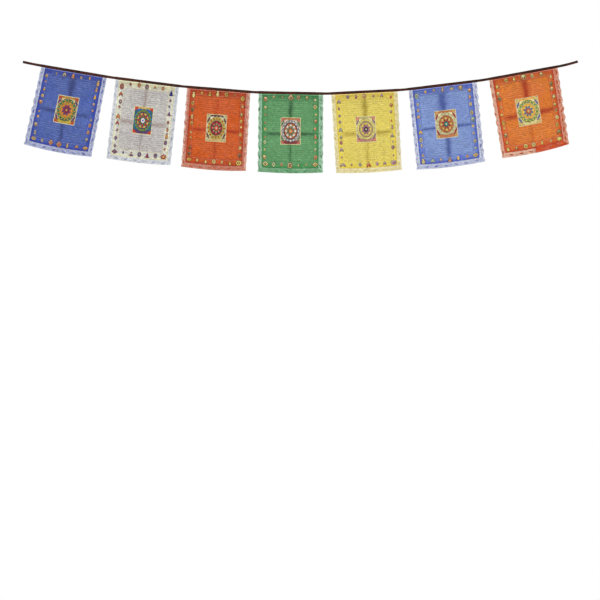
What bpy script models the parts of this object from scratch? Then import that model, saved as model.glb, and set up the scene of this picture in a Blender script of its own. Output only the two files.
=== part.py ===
"""A string of seven prayer flags, hung by the two free ends of its header tape.

Metres, +Z up. The origin is the left cut end of the tape, +X runs along the string to the right,
and the printed side of the flags faces -Y. Each flag is one thin cloth, tucked into the folded tape.
"""

import math
from collections import namedtuple

import bmesh
import bpy
import numpy as np

# Header tape, a band folded in half lengthwise
SPAN = 2.331  # straight distance between the two cut ends
TAPE_DEEP = 0.0105  # top to bottom over a flag
TAPE_THICK = 0.0038  # front to back over a flag
GAP_DEEP = 0.0096  # the same two sizes between the flags, where nothing is tucked in
GAP_THICK = 0.0024
TAPE_WALL = 0.0010  # one layer of the tape
LEFT_END_FALL = 12.9  # degrees below level, at the two cut ends
RIGHT_END_FALL = -17.7
END_ROUNDING = 0.004  # length over which a cut end is rounded
BEND_STEPS = 4  # stations along each bend between two flags

# Flags
CLOTH_THICK = 0.0012
TUCK = 0.0020  # the cloth's top edge, above the tape's middle line
CLEAR = 0.0003  # air between the cloth and the tape around it
SLOT_END_CLEAR = 0.0010
SLOT_RAMP = 0.0020  # length over which the slot closes beyond the cloth's corners
STRAIGHT_BELOW_TAPE = 0.0035  # the cloth stays flat this far below the tape
LETTING_GO = 0.16  # share of the drop over which the folds grow to full depth

# Creases left by folding the flag in four
CREASE_WIDE = 0.016  # half width of the upright trough at the tape
CREASE_NARROW = 0.006  # half width of the same trough at the hem
FOLD_AT = 0.517  # height of the level crease, as a share of the drop
FOLD_WIDE = 0.009
SCALLOPS = 9  # soft waves down each side edge
SCALLOP_REACH = 10  # a higher power keeps the waves nearer the edge
WAVE_CHANGE = 9.0  # how fast the scallops grow and shrink down the edge, radians over the drop
WAVE_OUT = 1.5  # depth of a scallop, as a share of its width

# Mesh of one flag: columns as shares of the half width, and rows down the drop
HALF_COLUMNS = (0.08, 0.30, 0.55, 0.80, 0.93, 1.0)
ROWS = 27

# One row for each flag, left to right. start: its left top corner, measured along X from the tape's
# left end. top, hem and drop: its widths and height as it hangs. sway, skew and bow: how far its hem
# lies to the right, falls to the right, and sags in the middle. lean: the tape's fall there, degrees.
# belly, pillow, hem_out: depth of the whole cloth's swell, of each quarter between the creases, and
# of the hem, towards the viewer. crease and fold: depth of the upright and the level trough.
# curl_left, curl_right: how far the side edges come forward. wave_left, wave_right: their scallops.
Flag = namedtuple(
    "Flag",
    "name colour start top hem drop sway skew bow lean "
    "belly pillow hem_out crease fold curl_left curl_right wave_left wave_right",
)
FLAGS = (
    Flag("flag_1_blue", (72, 95, 170), 0.0785, 0.2790, 0.2870, 0.3400, -0.0135, 0.0049, 0.0078, 9.6,
         0.006, 0.0050, 0.010, 0.0050, 0.0030, -0.010, 0.006, 0.0024, 0.0015),
    Flag("flag_2_white", (205, 200, 197), 0.3907, 0.2670, 0.2700, 0.3370, 0.0044, -0.0041, 0.0050, 7.2,
         0.004, 0.0045, -0.006, 0.0035, 0.0022, 0.005, -0.008, 0.0012, 0.0010),
    Flag("flag_3_orange", (203, 85, 38), 0.6898, 0.2665, 0.2720, 0.3340, 0.0050, -0.0039, 0.0060, 4.6,
         0.007, 0.0055, 0.006, 0.0030, 0.0045, -0.006, 0.009, 0.0017, 0.0012),
    Flag("flag_4_green", (82, 150, 94), 0.9904, 0.2710, 0.2725, 0.3325, 0.0038, -0.0016, 0.0050, 1.1,
         0.005, 0.0050, -0.004, 0.0060, 0.0035, 0.007, 0.004, 0.0021, 0.0014),
    Flag("flag_5_yellow", (222, 205, 95), 1.2950, 0.2790, 0.2760, 0.3350, 0.0022, 0.0000, 0.0052, -2.9,
         0.008, 0.0045, 0.009, 0.0065, 0.0045, -0.005, -0.009, 0.0012, 0.0016),
    Flag("flag_6_blue", (115, 140, 200), 1.6196, 0.2880, 0.2864, 0.3400, -0.0061, 0.0005, 0.0062, -6.9,
         0.005, 0.0055, -0.008, 0.0055, 0.0030, 0.008, -0.006, 0.0015, 0.0026),
    Flag("flag_7_orange", (214, 118, 54), 1.9575, 0.2925, 0.2860, 0.3330, -0.0071, -0.0077, 0.0076, -10.3,
         0.006, 0.0060, 0.007, 0.0050, 0.0050, -0.008, 0.010, 0.0020, 0.0030),
)
TAPE_COLOUR = (66, 38, 28)
CLOTH_ROUGHNESS = 0.75
TAPE_ROUGHNESS = 0.85


def clear_scene():
    """Remove every object the new file starts with."""
    for item in list(bpy.data.objects):
        bpy.data.objects.remove(item, do_unlink=True)


def linear(colour):
    """An 8-bit screen colour as the linear values a material takes."""
    share = np.array(colour) / 255.0
    return tuple(np.where(share <= 0.04045, share / 12.92, ((share + 0.055) / 1.055) ** 2.4))


def make_material(name, colour, roughness):
    """A plain woven finish: its colour and roughness, no metal."""
    material = bpy.data.materials.new(name)
    material.use_nodes = True
    shader = material.node_tree.nodes["Principled BSDF"]
    shader.inputs["Base Color"].default_value = (*linear(colour), 1.0)
    shader.inputs["Roughness"].default_value = roughness
    shader.inputs["Metallic"].default_value = 0.0
    return material


def add_object(mesh, name, material, collection):
    """Put a finished mesh in the scene under the part's name."""
    mesh.materials.append(material)
    item = bpy.data.objects.new(name, mesh)
    collection.objects.link(item)
    return item


def flag_end(flag):
    """Where a flag's right top corner lies along X."""
    return flag.start + flag.top * math.cos(math.radians(flag.lean))


def fall(x):
    """Slope of the tape at x: even over each flag, turning steadily across each gap."""
    places, slopes = [0.0], [LEFT_END_FALL]
    for flag in FLAGS:
        places += [flag.start, flag_end(flag)]
        slopes += [flag.lean, flag.lean]
    places.append(SPAN)
    slopes.append(RIGHT_END_FALL)
    return np.interp(x, places, np.tan(np.radians(slopes)))


def tape_height(x):
    """Height of the tape's middle line at x: minus the sum of its slope from the left end."""
    steps = np.linspace(0.0, SPAN, 2332)
    slopes = fall(steps)
    drops = np.concatenate([[0.0], np.cumsum((slopes[1:] + slopes[:-1]) / 2 * np.diff(steps))])
    return -np.interp(x, steps, drops)


def smooth_step(share):
    """0 up to 0, 1 from 1, and an even ease between."""
    share = np.clip(share, 0.0, 1.0)
    return share * share * (3.0 - 2.0 * share)


def fold_depth(flag, across, down):
    """How far the hanging cloth stands towards the viewer, for across -1 to 1 and down 0 to 1.

    The whole cloth swells by (1 - across^2) sin(pi down), each quarter between the creases by a
    product of two half sines, the hem swings out with down^2 and the side edges with across^4.
    The two creases are troughs of the form exp(-(distance / half width)^2).
    """
    height = TUCK + flag.drop
    free_from = (TUCK + TAPE_DEEP / 2 + STRAIGHT_BELOW_TAPE) / height
    grown = smooth_step((down - free_from) / LETTING_GO)
    belly = flag.belly * (1.0 - across**2) * np.sin(np.pi * down)
    part_down = np.where(down < FOLD_AT, down / FOLD_AT, (down - FOLD_AT) / (1.0 - FOLD_AT))
    pillow = flag.pillow * np.abs(np.sin(np.pi * across)) * np.sin(np.pi * np.clip(part_down, 0.0, 1.0))
    curl = np.where(across < 0.0, flag.curl_left, flag.curl_right) * across**4 * (0.3 + 0.7 * down)
    half_width = CREASE_WIDE + (CREASE_NARROW - CREASE_WIDE) * down
    crease = flag.crease * np.exp(-((across * flag.top / 2 / half_width) ** 2))
    fold = flag.fold * np.exp(-(((down - FOLD_AT) * height / FOLD_WIDE) ** 2))
    return grown * (belly + pillow + flag.hem_out * down**2 + curl - crease - fold)


def cloth_points(flag, across, down):
    """The flag's sheet in its own axes: X along the tape, Z up, the tape's middle line at Z 0."""
    width = flag.top + (flag.hem - flag.top) * down
    phase = 2.0 * np.pi * SCALLOPS * down
    uneven = 0.7 + 0.3 * np.sin(WAVE_CHANGE * down + flag.lean)
    left, right = flag.wave_left * np.cos(phase), flag.wave_right * np.cos(phase + 1.0)
    wave = uneven * np.where(across < 0.0, left, right)
    edge = smooth_step(down / LETTING_GO) * np.abs(across) ** SCALLOP_REACH
    x = across * width / 2 + flag.sway * down + np.sign(across) * wave * edge
    sag = flag.bow * (1.0 - across**2) + flag.skew / 2 * across
    z = TUCK - (TUCK + flag.drop) * down - sag * smooth_step(down)
    y = -fold_depth(flag, across, down) - WAVE_OUT * wave * edge
    return x, y, z


def flag_grid():
    """Columns and rows of a flag's mesh, closer together at the crease and the side edges."""
    half = np.array(HALF_COLUMNS)
    columns = np.concatenate([-half[::-1], [0.0], half])
    rows = np.linspace(0.0, 1.0, ROWS + 1)
    first = (TUCK + TAPE_DEEP / 2 + STRAIGHT_BELOW_TAPE) / (TUCK + FLAGS[0].drop)
    rows = np.concatenate([[0.0, first], rows[rows > first + 0.5 / ROWS]])
    return np.meshgrid(columns, rows)


def sheet_mesh(name, x, y, z):
    """A mesh of four-sided faces over a grid of points, its front towards -Y."""
    model = bmesh.new()
    verts = [model.verts.new(point) for point in zip(x.ravel(), y.ravel(), z.ravel())]
    down_count, across_count = x.shape
    for row in range(down_count - 1):
        for column in range(across_count - 1):
            corner = row * across_count + column
            below = corner + across_count
            model.faces.new((verts[corner], verts[below], verts[below + 1], verts[corner + 1]))
    mesh = bpy.data.meshes.new(name)
    model.to_mesh(mesh)
    model.free()
    return mesh


def build_flag(flag, collection):
    """One printed cloth, hung from the tape's middle line at its own lean."""
    across, down = flag_grid()
    mesh = sheet_mesh(flag.name, *cloth_points(flag, across, down))
    mesh.shade_smooth()
    material = make_material(f"{flag.name}_cloth", flag.colour, CLOTH_ROUGHNESS)
    item = add_object(mesh, flag.name, material, collection)
    middle = (flag.start + flag_end(flag)) / 2
    item.location = (middle, 0.0, float(tape_height(middle)))
    item.rotation_euler = (0.0, math.radians(flag.lean), 0.0)
    solid = item.modifiers.new("cloth_thickness", "SOLIDIFY")
    solid.thickness = CLOTH_THICK
    solid.offset = 0.0
    return item


def tape_section(deep, thick, slot_half, slot_roof):
    """Outline of the folded tape across its run: a rounded fold on top, two free edges below."""
    half = thick / 2
    foot = -deep / 2
    shoulder = deep / 2 - 0.45 * thick
    right = [
        (0.58 * half, deep / 2 - 0.12 * thick),
        (half, shoulder),
        (half, foot),
        (slot_half, foot),
        (slot_half, slot_roof),
    ]
    left = [(-y, z) for y, z in reversed(right)]
    return np.array([(0.0, deep / 2), *right, *left])


def tape_stations():
    """Places along X where the tape's outline is set, each with its section.

    The outline is open round each flag, closes over a short ramp at its corners, and between the
    flags is the thinner band with only a groove between its two free edges.
    """
    over_flag = tape_section(TAPE_DEEP, TAPE_THICK, CLOTH_THICK / 2 + CLEAR, TUCK + CLEAR)
    groove_roof = -GAP_DEEP / 2 + TAPE_WALL
    between = tape_section(GAP_DEEP, GAP_THICK, GAP_THICK / 2 - TAPE_WALL, groove_roof)
    closed = tape_section(TAPE_DEEP, TAPE_THICK, GAP_THICK / 2 - TAPE_WALL, groove_roof)
    stations = [
        (0.0, between * 0.45),
        (END_ROUNDING * 0.3, between * (1.15, 0.95)),
        (END_ROUNDING, between * (1.35, 1.1)),
        (END_ROUNDING * 3, between),
    ]
    before = END_ROUNDING * 3
    for flag in FLAGS:
        run = math.cos(math.radians(flag.lean))
        opens = flag.start - SLOT_END_CLEAR * run
        shuts = flag_end(flag) + SLOT_END_CLEAR * run
        swell = opens - 3 * SLOT_RAMP
        stations += [(x, between) for x in np.linspace(before, swell, BEND_STEPS + 1)[1:]]
        stations += [(opens - SLOT_RAMP, closed), (opens, over_flag)]
        stations += [(x, over_flag) for x in np.linspace(opens, shuts, BEND_STEPS + 1)[1:-1]]
        stations += [(shuts, over_flag), (shuts + SLOT_RAMP, closed), (shuts + 3 * SLOT_RAMP, between)]
        before = shuts + 3 * SLOT_RAMP
    stations += [(x, between) for x in np.linspace(before, SPAN - END_ROUNDING * 3, BEND_STEPS + 1)[1:]]
    stations += [
        (SPAN - END_ROUNDING, between * (1.2, 1.05)),
        (SPAN - END_ROUNDING * 0.3, between * (1.05, 0.9)),
        (SPAN, between * 0.45),
    ]
    return stations


def build_tape(collection):
    """The folded tape as one band: its section carried along the line in which it hangs."""
    stations = tape_stations()
    places = np.array([place for place, _ in stations])
    heights = tape_height(places)
    angles = np.arctan(fall(places))
    model = bmesh.new()
    rings = []
    for place, height, angle, (_, section) in zip(places, heights, angles, stations):
        up = np.array([math.sin(angle), 0.0, math.cos(angle)])
        middle = np.array([place, 0.0, height])
        rings.append([model.verts.new(middle + (0.0, y, 0.0) + up * z) for y, z in section])
    for ring, following in zip(rings, rings[1:]):
        for index, vert in enumerate(ring):
            after = (index + 1) % len(ring)
            model.faces.new((vert, ring[after], following[after], following[index]))
    for ring in (rings[0], rings[-1]):
        model.faces.new(ring)
    bmesh.ops.triangulate(model, faces=[face for face in model.faces if len(face.verts) > 4])
    bmesh.ops.recalc_face_normals(model, faces=model.faces)
    mesh = bpy.data.meshes.new("header_tape")
    model.to_mesh(mesh)
    model.free()
    mesh.shade_smooth()
    mesh.set_sharp_from_angle(angle=math.radians(40))
    return add_object(mesh, "header_tape", make_material("tape", TAPE_COLOUR, TAPE_ROUGHNESS), collection)


def main():
    """Build the tape and its flags in one collection."""
    clear_scene()
    collection = bpy.data.collections.new("prayer_flag_string")
    bpy.context.scene.collection.children.link(collection)
    build_tape(collection)
    for flag in FLAGS:
        build_flag(flag, collection)


main()
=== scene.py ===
import math
from collections import namedtuple

import bmesh
import bpy
import numpy as np
from bpy.props import CollectionProperty, FloatProperty, FloatVectorProperty
from bpy.props import PointerProperty, StringProperty
from bpy.types import Operator, Panel, PropertyGroup
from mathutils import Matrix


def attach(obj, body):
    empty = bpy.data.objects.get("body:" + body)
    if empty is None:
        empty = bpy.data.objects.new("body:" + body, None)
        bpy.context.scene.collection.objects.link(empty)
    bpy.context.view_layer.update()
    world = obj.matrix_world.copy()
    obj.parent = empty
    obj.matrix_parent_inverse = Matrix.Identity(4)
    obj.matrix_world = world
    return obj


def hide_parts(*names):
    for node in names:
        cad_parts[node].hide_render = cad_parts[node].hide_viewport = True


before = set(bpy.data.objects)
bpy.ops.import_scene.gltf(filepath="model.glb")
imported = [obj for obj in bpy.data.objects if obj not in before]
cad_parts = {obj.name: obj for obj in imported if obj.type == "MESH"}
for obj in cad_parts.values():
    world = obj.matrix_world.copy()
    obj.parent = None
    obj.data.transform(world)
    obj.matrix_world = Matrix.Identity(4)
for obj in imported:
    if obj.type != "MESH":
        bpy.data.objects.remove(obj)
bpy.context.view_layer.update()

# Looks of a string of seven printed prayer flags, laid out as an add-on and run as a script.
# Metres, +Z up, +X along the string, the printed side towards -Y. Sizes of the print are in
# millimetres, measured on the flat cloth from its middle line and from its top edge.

bl_info = {
    "name": "Prayer flag string",
    "version": (1, 0, 0),
    "blender": (4, 5, 0),
    "location": "3D View > Sidebar > Flags",
    "description": "Builds the cloth, tape, stitching and stage of a hung string of printed flags",
    "category": "Object",
}

# Header tape, on the line and sections of the part's source
SPAN = 2.331
TAPE_DEEP = 0.0105
TAPE_THICK = 0.0038
GAP_DEEP = 0.0096
GAP_THICK = 0.0024
LEFT_END_FALL = 12.9
RIGHT_END_FALL = -17.7
SLOT_HALF = 0.0009  # half width of the slot in which the flags' top edges lie
SLOT_ROOF = 0.0023
SWELL_RAMP = 0.006  # length over which the tape swells from the gap to the flag
TAPE_ROUND = 30.0  # what the way round the tape counts in its pattern, millimetres
TAPE_WEAVE = 0.9  # from one of its threads to the next, millimetres
TAPE_STATIONS = 620
FOLD_POINTS = 9  # points of the tape's outline round its fold
WALL_POINTS = 5

# Flags, the same folds as in the part's source
TUCK = 0.0020
STRAIGHT_BELOW_TAPE = 0.0035
LETTING_GO = 0.16  # share of the height over which the cloth is let go below the tape
CREASE_WIDE = 0.016
CREASE_NARROW = 0.006
FOLD_AT = 0.517
FOLD_WIDE = 0.009
SCALLOPS = 9
SCALLOP_REACH = 10
WAVE_CHANGE = 9.0
WAVE_OUT = 1.5

# Finer relief of the cloth, on top of those folds
COLUMNS = 150
ROWS = 182
PINCH = 0.5  # 0 spaces the mesh evenly, more moves it towards the creases and the edges
RIPPLES = 14
DENTS = 16
VALLEY_WIDE = 0.0022  # half width of the sharp line in each crease
PUCKER_REACH = 0.016  # how far the puckers reach in from the hems
NORMAL_STEP = 1e-4
TWIST_PACE = 9000.0  # ridges of the sewing thread, radians per metre

# Print on the flat cloth, millimetres
CLOTH_WIDE = 280.0
CLOTH_HIGH = 342.0
SIDE_BORDER = 17.6
FOOT_BORDER = 20.9
FRAME_HALF_WIDE = 99.4
FRAME_MIDDLE = 164.0
FRAME_HALF_HIGH = 129.0
PANEL_HALF_WIDE = 44.1
PANEL_HALF_HIGH = 57.0
COLUMN_PITCH = 35.7  # from one small motif to the next, along the top and the bottom
STEP_PITCH = 30.4  # the same down the sides
TOP_ROW = 21.5  # where the rows of small motifs lie, and the first of each side
LOW_ROW = 307.0
SIDE_ROW = 109.0
FIRST_STEP = 35.0
MOTIF_SIZE = 0.87
MOTIF_SLIM = 0.92  # the small motifs' width and height, as parts of a round one's
MOTIF_TALL = 1.20
BROCADE_PITCH = 41.0
RULE_PITCH = 8.6
RULE_STROKE = 1.8
TOP_LIGHT_LINE = 9.6  # the line of painted light just under the tape
TOP_DYE_AND_SHADE = 26.0  # how far down the darker dye under the tape reaches; it is partly painted shade of the tape
TOP_SHADE = 38.0  # the same for the softer painted shade below the tape
FRAME_LINE = 0.5  # the frame's two lines, measured outwards from its edge
FRAME_PALE_LINE = 3.4
BORDER_STEP = 0.52  # share of the border's width where its inner half begins
MOTTLE_MEAN = 0.985  # mean brightness of the uneven dye with its painted crinkle highlights

# Stage, metres
VIEW_MIDDLE = (1.164, -1.000)  # X and Z of the middle of the picture
CAMERA_AWAY = 5.0
LIGHT_SIZE = 4.0
KEY_PLACE = (-0.6, -5.5, 6.0)
BACK_PLACE = (2.6, 5.5, 4.0)
LIT_PLACE = (1.16, 0.0, -0.2)
FLOOR_SIZE = 60.0
FLOOR_GLOW = 0.52  # keeps the floor as pale as the photo's ground

# One row for each flag, in metres. start: where its left top corner lies along X. top, hem: its
# widths. drop: its height below the tape's middle line. sway: how far its foot lies to the right.
# skew: how much lower its right foot corner hangs than the left. bow: its sag between them. lean:
# the tape's slope, in degrees. belly to curl_right: depths of its folds. wave_left, wave_right:
# depths of its scalloped sides.
Flag = namedtuple(
    "Flag",
    "name start top hem drop sway skew bow lean "
    "belly pillow hem_out crease fold curl_left curl_right wave_left wave_right",
)
FLAGS = (
    Flag("flag_1_blue", 0.0785, 0.2790, 0.2870, 0.3400, -0.0135, 0.0049, 0.0078, 9.6,
         0.006, 0.0050, 0.010, 0.0050, 0.0030, -0.010, 0.006, 0.0024, 0.0015),
    Flag("flag_2_white", 0.3907, 0.2670, 0.2700, 0.3370, 0.0044, -0.0041, 0.0050, 7.2,
         0.004, 0.0045, -0.006, 0.0035, 0.0022, 0.005, -0.008, 0.0012, 0.0010),
    Flag("flag_3_orange", 0.6898, 0.2665, 0.2720, 0.3340, 0.0050, -0.0039, 0.0060, 4.6,
         0.007, 0.0055, 0.006, 0.0030, 0.0045, -0.006, 0.009, 0.0017, 0.0012),
    Flag("flag_4_green", 0.9904, 0.2710, 0.2725, 0.3325, 0.0038, -0.0016, 0.0050, 1.1,
         0.005, 0.0050, -0.004, 0.0060, 0.0035, 0.007, 0.004, 0.0021, 0.0014),
    Flag("flag_5_yellow", 1.2950, 0.2790, 0.2760, 0.3350, 0.0022, 0.0000, 0.0052, -2.9,
         0.008, 0.0045, 0.009, 0.0065, 0.0045, -0.005, -0.009, 0.0012, 0.0016),
    Flag("flag_6_blue", 1.6196, 0.2880, 0.2864, 0.3400, -0.0061, 0.0005, 0.0062, -6.9,
         0.005, 0.0055, -0.008, 0.0055, 0.0030, 0.008, -0.006, 0.0015, 0.0026),
    Flag("flag_7_orange", 1.9575, 0.2925, 0.2860, 0.3330, -0.0071, -0.0077, 0.0076, -10.3,
         0.006, 0.0060, 0.007, 0.0050, 0.0050, -0.008, 0.010, 0.0020, 0.0030),
)

# Colours of each flag's cloth and print, as 8-bit screen values, and of its painted crease shade.
# field:
# the cloth inside the frame line. band: the cloth outside it. pale, dark: the brocade border. line: the
# thin lines, and the darker top under the tape, which is partly painted shade. mark: the ruled lines.
# crease: the painted shade along the creases. gem_1, gem_2, gem_3: the small motifs.
Colours = namedtuple("Colours", "field band pale dark line mark crease gem_1 gem_2 gem_3")
CLOTH_COLOURS = (
    Colours((77, 98, 166), (48, 66, 160), (178, 184, 206), (84, 92, 158), (44, 50, 134),
            (60, 76, 138), (58, 68, 122), (224, 176, 66), (218, 142, 50), (178, 166, 118)),
    Colours((189, 185, 182), (222, 222, 203), (208, 210, 214), (148, 158, 174), (206, 194, 104),
            (108, 100, 104), (156, 140, 134), (150, 26, 44), (34, 36, 124), (190, 108, 34)),
    Colours((200, 86, 22), (174, 62, 24), (212, 171, 152), (178, 80, 56), (150, 40, 20),
            (174, 72, 26), (168, 56, 26), (216, 190, 76), (226, 210, 130), (112, 96, 40)),
    Colours((95, 151, 98), (64, 138, 76), (156, 194, 164), (60, 116, 76), (38, 100, 56),
            (70, 124, 78), (58, 98, 64), (222, 188, 108), (212, 132, 86), (206, 214, 156)),
    Colours((224, 206, 98), (226, 206, 78), (230, 220, 178), (196, 184, 110), (208, 168, 58),
            (168, 150, 72), (172, 152, 62), (150, 110, 144), (192, 70, 58), (132, 136, 158)),
    Colours((128, 151, 203), (82, 102, 190), (198, 203, 221), (98, 106, 172), (58, 70, 164),
            (92, 112, 174), (76, 94, 156), (226, 192, 78), (226, 160, 64), (178, 196, 140)),
    Colours((218, 122, 44), (196, 74, 32), (222, 180, 156), (176, 78, 46), (166, 42, 22),
            (178, 82, 38), (168, 60, 30), (218, 204, 84), (228, 218, 138), (112, 132, 66)),
)

# How the middle panel lies, the wear of each flag's dye, and its painted shade and light. Lengths are
# in millimetres.
# right, lower, wide, high: the panel's shift, and its size as parts of the usual one.
# up, low, left, right_arm: strength of the four arms of painted shade along the crease.
# up_shift: how far the upper arm lies to the right. up_wide, low_wide, level_wide: half widths.
# side_run, right_run, foot_left_run, foot_right_run: how much of the cloth's colour has run into the
# inner half of the side borders, into the right border, and into each half of the bottom one.
# motif_light, motif_size: how strong the painted highlight on the small motifs' upper side is, and how
# large they are.
# mottle: how uneven the dye and its painted crinkle highlights are. print_right: how far the print lies
# to the right of the middle.
WearAndShade = namedtuple(
    "WearAndShade",
    "right lower wide high up low left right_arm up_shift up_wide low_wide level_wide "
    "side_run right_run foot_left_run foot_right_run motif_light motif_size mottle print_right",
)
CREASE_COLUMNS = slice(4, 12)  # up to level_wide, the columns of the painted crease shade
WEAR_AND_SHADE = (
    WearAndShade(1.0, 1.0, 1.00, 1.00, 0.95, 0.60, 0.85, 0.60, 4.0, 12.0, 7.0, 8.0,
         0.00, 0.05, 0.12, 0.12, 0.20, 1.0, 1.30, 0.0),
    WearAndShade(-1.0, 0.0, 0.96, 1.00, 0.85, 0.60, 0.82, 0.80, 0.0, 6.0, 3.0, 8.0,
         0.10, 0.00, 0.00, 0.00, 0.04, 1.08, 1.25, 0.0),
    WearAndShade(0.5, 1.0, 1.00, 1.00, 0.45, 0.60, 0.97, 0.92, 0.0, 5.0, 4.5, 7.0,
         0.60, 0.00, 0.50, 0.60, 0.13, 1.0, 1.35, -1.2),
    WearAndShade(0.0, -0.5, 0.98, 1.00, 1.00, 0.60, 1.00, 1.00, 0.0, 8.5, 3.5, 7.0,
         0.12, 0.00, 0.52, 0.52, 0.28, 1.0, 1.35, -1.6),
    WearAndShade(-2.2, -4.5, 0.96, 0.95, 1.00, 0.45, 0.68, 0.78, -1.0, 10.0, 4.0, 9.5,
         0.30, 0.00, 0.14, 0.14, 0.34, 0.9, 0.95, -0.5),
    WearAndShade(-1.2, -0.5, 1.00, 1.00, 1.12, 0.80, 1.06, 1.02, -7.0, 17.0, 11.0, 6.5,
         0.00, 0.00, 0.10, 0.10, 0.20, 1.0, 1.20, -1.2),
    WearAndShade(-3.7, 0.0, 1.06, 1.00, 1.00, 0.20, 0.82, 0.92, -1.0, 13.0, 3.0, 12.0,
         0.22, 0.42, 0.00, 1.00, 0.26, 1.0, 1.22, -3.0),
)

# Colours of each flag's middle panel, a generic eight-petalled rosette between corner leaves
Medallion = namedtuple("Medallion", "ground corner ring disc petal heart accent foot")
MEDALLIONS = (
    Medallion((196, 180, 128), (182, 70, 48), (44, 116, 84), (184, 132, 56), (206, 140, 50),
              (140, 46, 42), (100, 58, 110), (184, 160, 62)),
    Medallion((46, 96, 178), (200, 62, 38), (84, 152, 66), (204, 172, 84), (144, 58, 68),
              (222, 218, 218), (38, 104, 80), (92, 62, 104)),
    Medallion((208, 200, 166), (182, 176, 132), (188, 176, 62), (98, 54, 54), (186, 48, 50),
              (214, 92, 66), (104, 64, 52), (200, 172, 108)),
    Medallion((214, 192, 168), (188, 104, 88), (128, 142, 146), (186, 116, 66), (226, 214, 200),
              (204, 122, 56), (84, 122, 82), (128, 58, 58)),
    Medallion((232, 218, 150), (214, 132, 110), (214, 208, 126), (190, 180, 120), (230, 210, 96),
              (70, 66, 88), (146, 114, 128), (186, 134, 120)),
    Medallion((222, 212, 164), (200, 152, 92), (198, 200, 158), (188, 108, 62), (212, 180, 96),
              (44, 132, 124), (156, 54, 54), (196, 120, 82)),
    Medallion((234, 218, 154), (212, 184, 108), (112, 154, 92), (232, 172, 70), (240, 200, 80),
              (222, 118, 50), (104, 108, 152), (220, 206, 138)),
)
PANEL_EDGE = (226, 214, 160)
OUTLINE = (58, 38, 42)
GLINT = (255, 252, 244)
MOTIF_LIGHT = (250, 242, 200)
TAPE_COLOUR = (34, 15, 9)
# lighter tape colour, for its cloudy dye and its painted highlight bands
TAPE_LIGHT = (98, 44, 22)
THREAD_COLOUR = (34, 18, 14)
PALE_THREAD = 235.0  # of 255, the flags' thread beside their pale border
FLOOR_COLOUR = (236, 235, 232)
FLOOR_SHADE = (0.7, 0.7, 0.7, 1.0)  # linear values


# Shape of the string


def string_settings():
    """The settings of the flag string, as they stand in the scene."""
    return bpy.context.scene.flag_string


def cloth_high(flag):
    """Height of a flag's cloth, with what is tucked into the tape."""
    return TUCK + flag.drop


def flag_end(flag):
    """Where a flag's right top corner lies along X."""
    return flag.start + flag.top * math.cos(math.radians(flag.lean))


def fall(x):
    """Slope of the tape at x: even over each flag, turning steadily across each gap."""
    places, slopes = [0.0], [LEFT_END_FALL]
    for flag in FLAGS:
        places += [flag.start, flag_end(flag)]
        slopes += [flag.lean, flag.lean]
    places.append(SPAN)
    slopes.append(RIGHT_END_FALL)
    return np.interp(x, places, np.tan(np.radians(slopes)))


def tape_height(x):
    """Height of the tape's middle line at x: minus the sum of its slope from the left end."""
    steps = np.linspace(0.0, SPAN, 2332)
    slopes = fall(steps)
    drops = np.concatenate([[0.0], np.cumsum((slopes[1:] + slopes[:-1]) / 2 * np.diff(steps))])
    return -np.interp(x, steps, drops)


def smooth_step(share):
    """0 up to 0, 1 from 1, and an even ease between."""
    share = np.clip(share, 0.0, 1.0)
    return share * share * (3.0 - 2.0 * share)


def freed(flag, down):
    """How far the cloth is let go below the tape: 0 where the tape holds it flat, 1 lower down."""
    free_from = (TUCK + TAPE_DEEP / 2 + STRAIGHT_BELOW_TAPE) / cloth_high(flag)
    return smooth_step((down - free_from) / LETTING_GO)


def fold_depth(flag, across, down):
    """How far the hanging cloth stands towards the viewer, for across -1 to 1 and down 0 to 1.

    The whole cloth swells by (1 - across^2) sin(pi down), each quarter between the creases by a
    product of two half sines, the hem swings out with down^2 and the side edges with across^4.
    The two creases are troughs of the form exp(-(distance / half width)^2), and the upright one
    narrows downwards.
    """
    belly = flag.belly * (1.0 - across**2) * np.sin(np.pi * down)
    part_down = np.where(down < FOLD_AT, down / FOLD_AT, (down - FOLD_AT) / (1.0 - FOLD_AT))
    pillow = flag.pillow * np.abs(np.sin(np.pi * across)) * np.sin(np.pi * np.clip(part_down, 0.0, 1.0))
    curl = np.where(across < 0.0, flag.curl_left, flag.curl_right) * across**4 * (0.3 + 0.7 * down)
    half_width = CREASE_WIDE + (CREASE_NARROW - CREASE_WIDE) * down
    crease = flag.crease * np.exp(-((across * flag.top / 2 / half_width) ** 2))
    fold = flag.fold * np.exp(-(((down - FOLD_AT) * cloth_high(flag) / FOLD_WIDE) ** 2))
    return freed(flag, down) * (belly + pillow + flag.hem_out * down**2 + curl - crease - fold)


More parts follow.
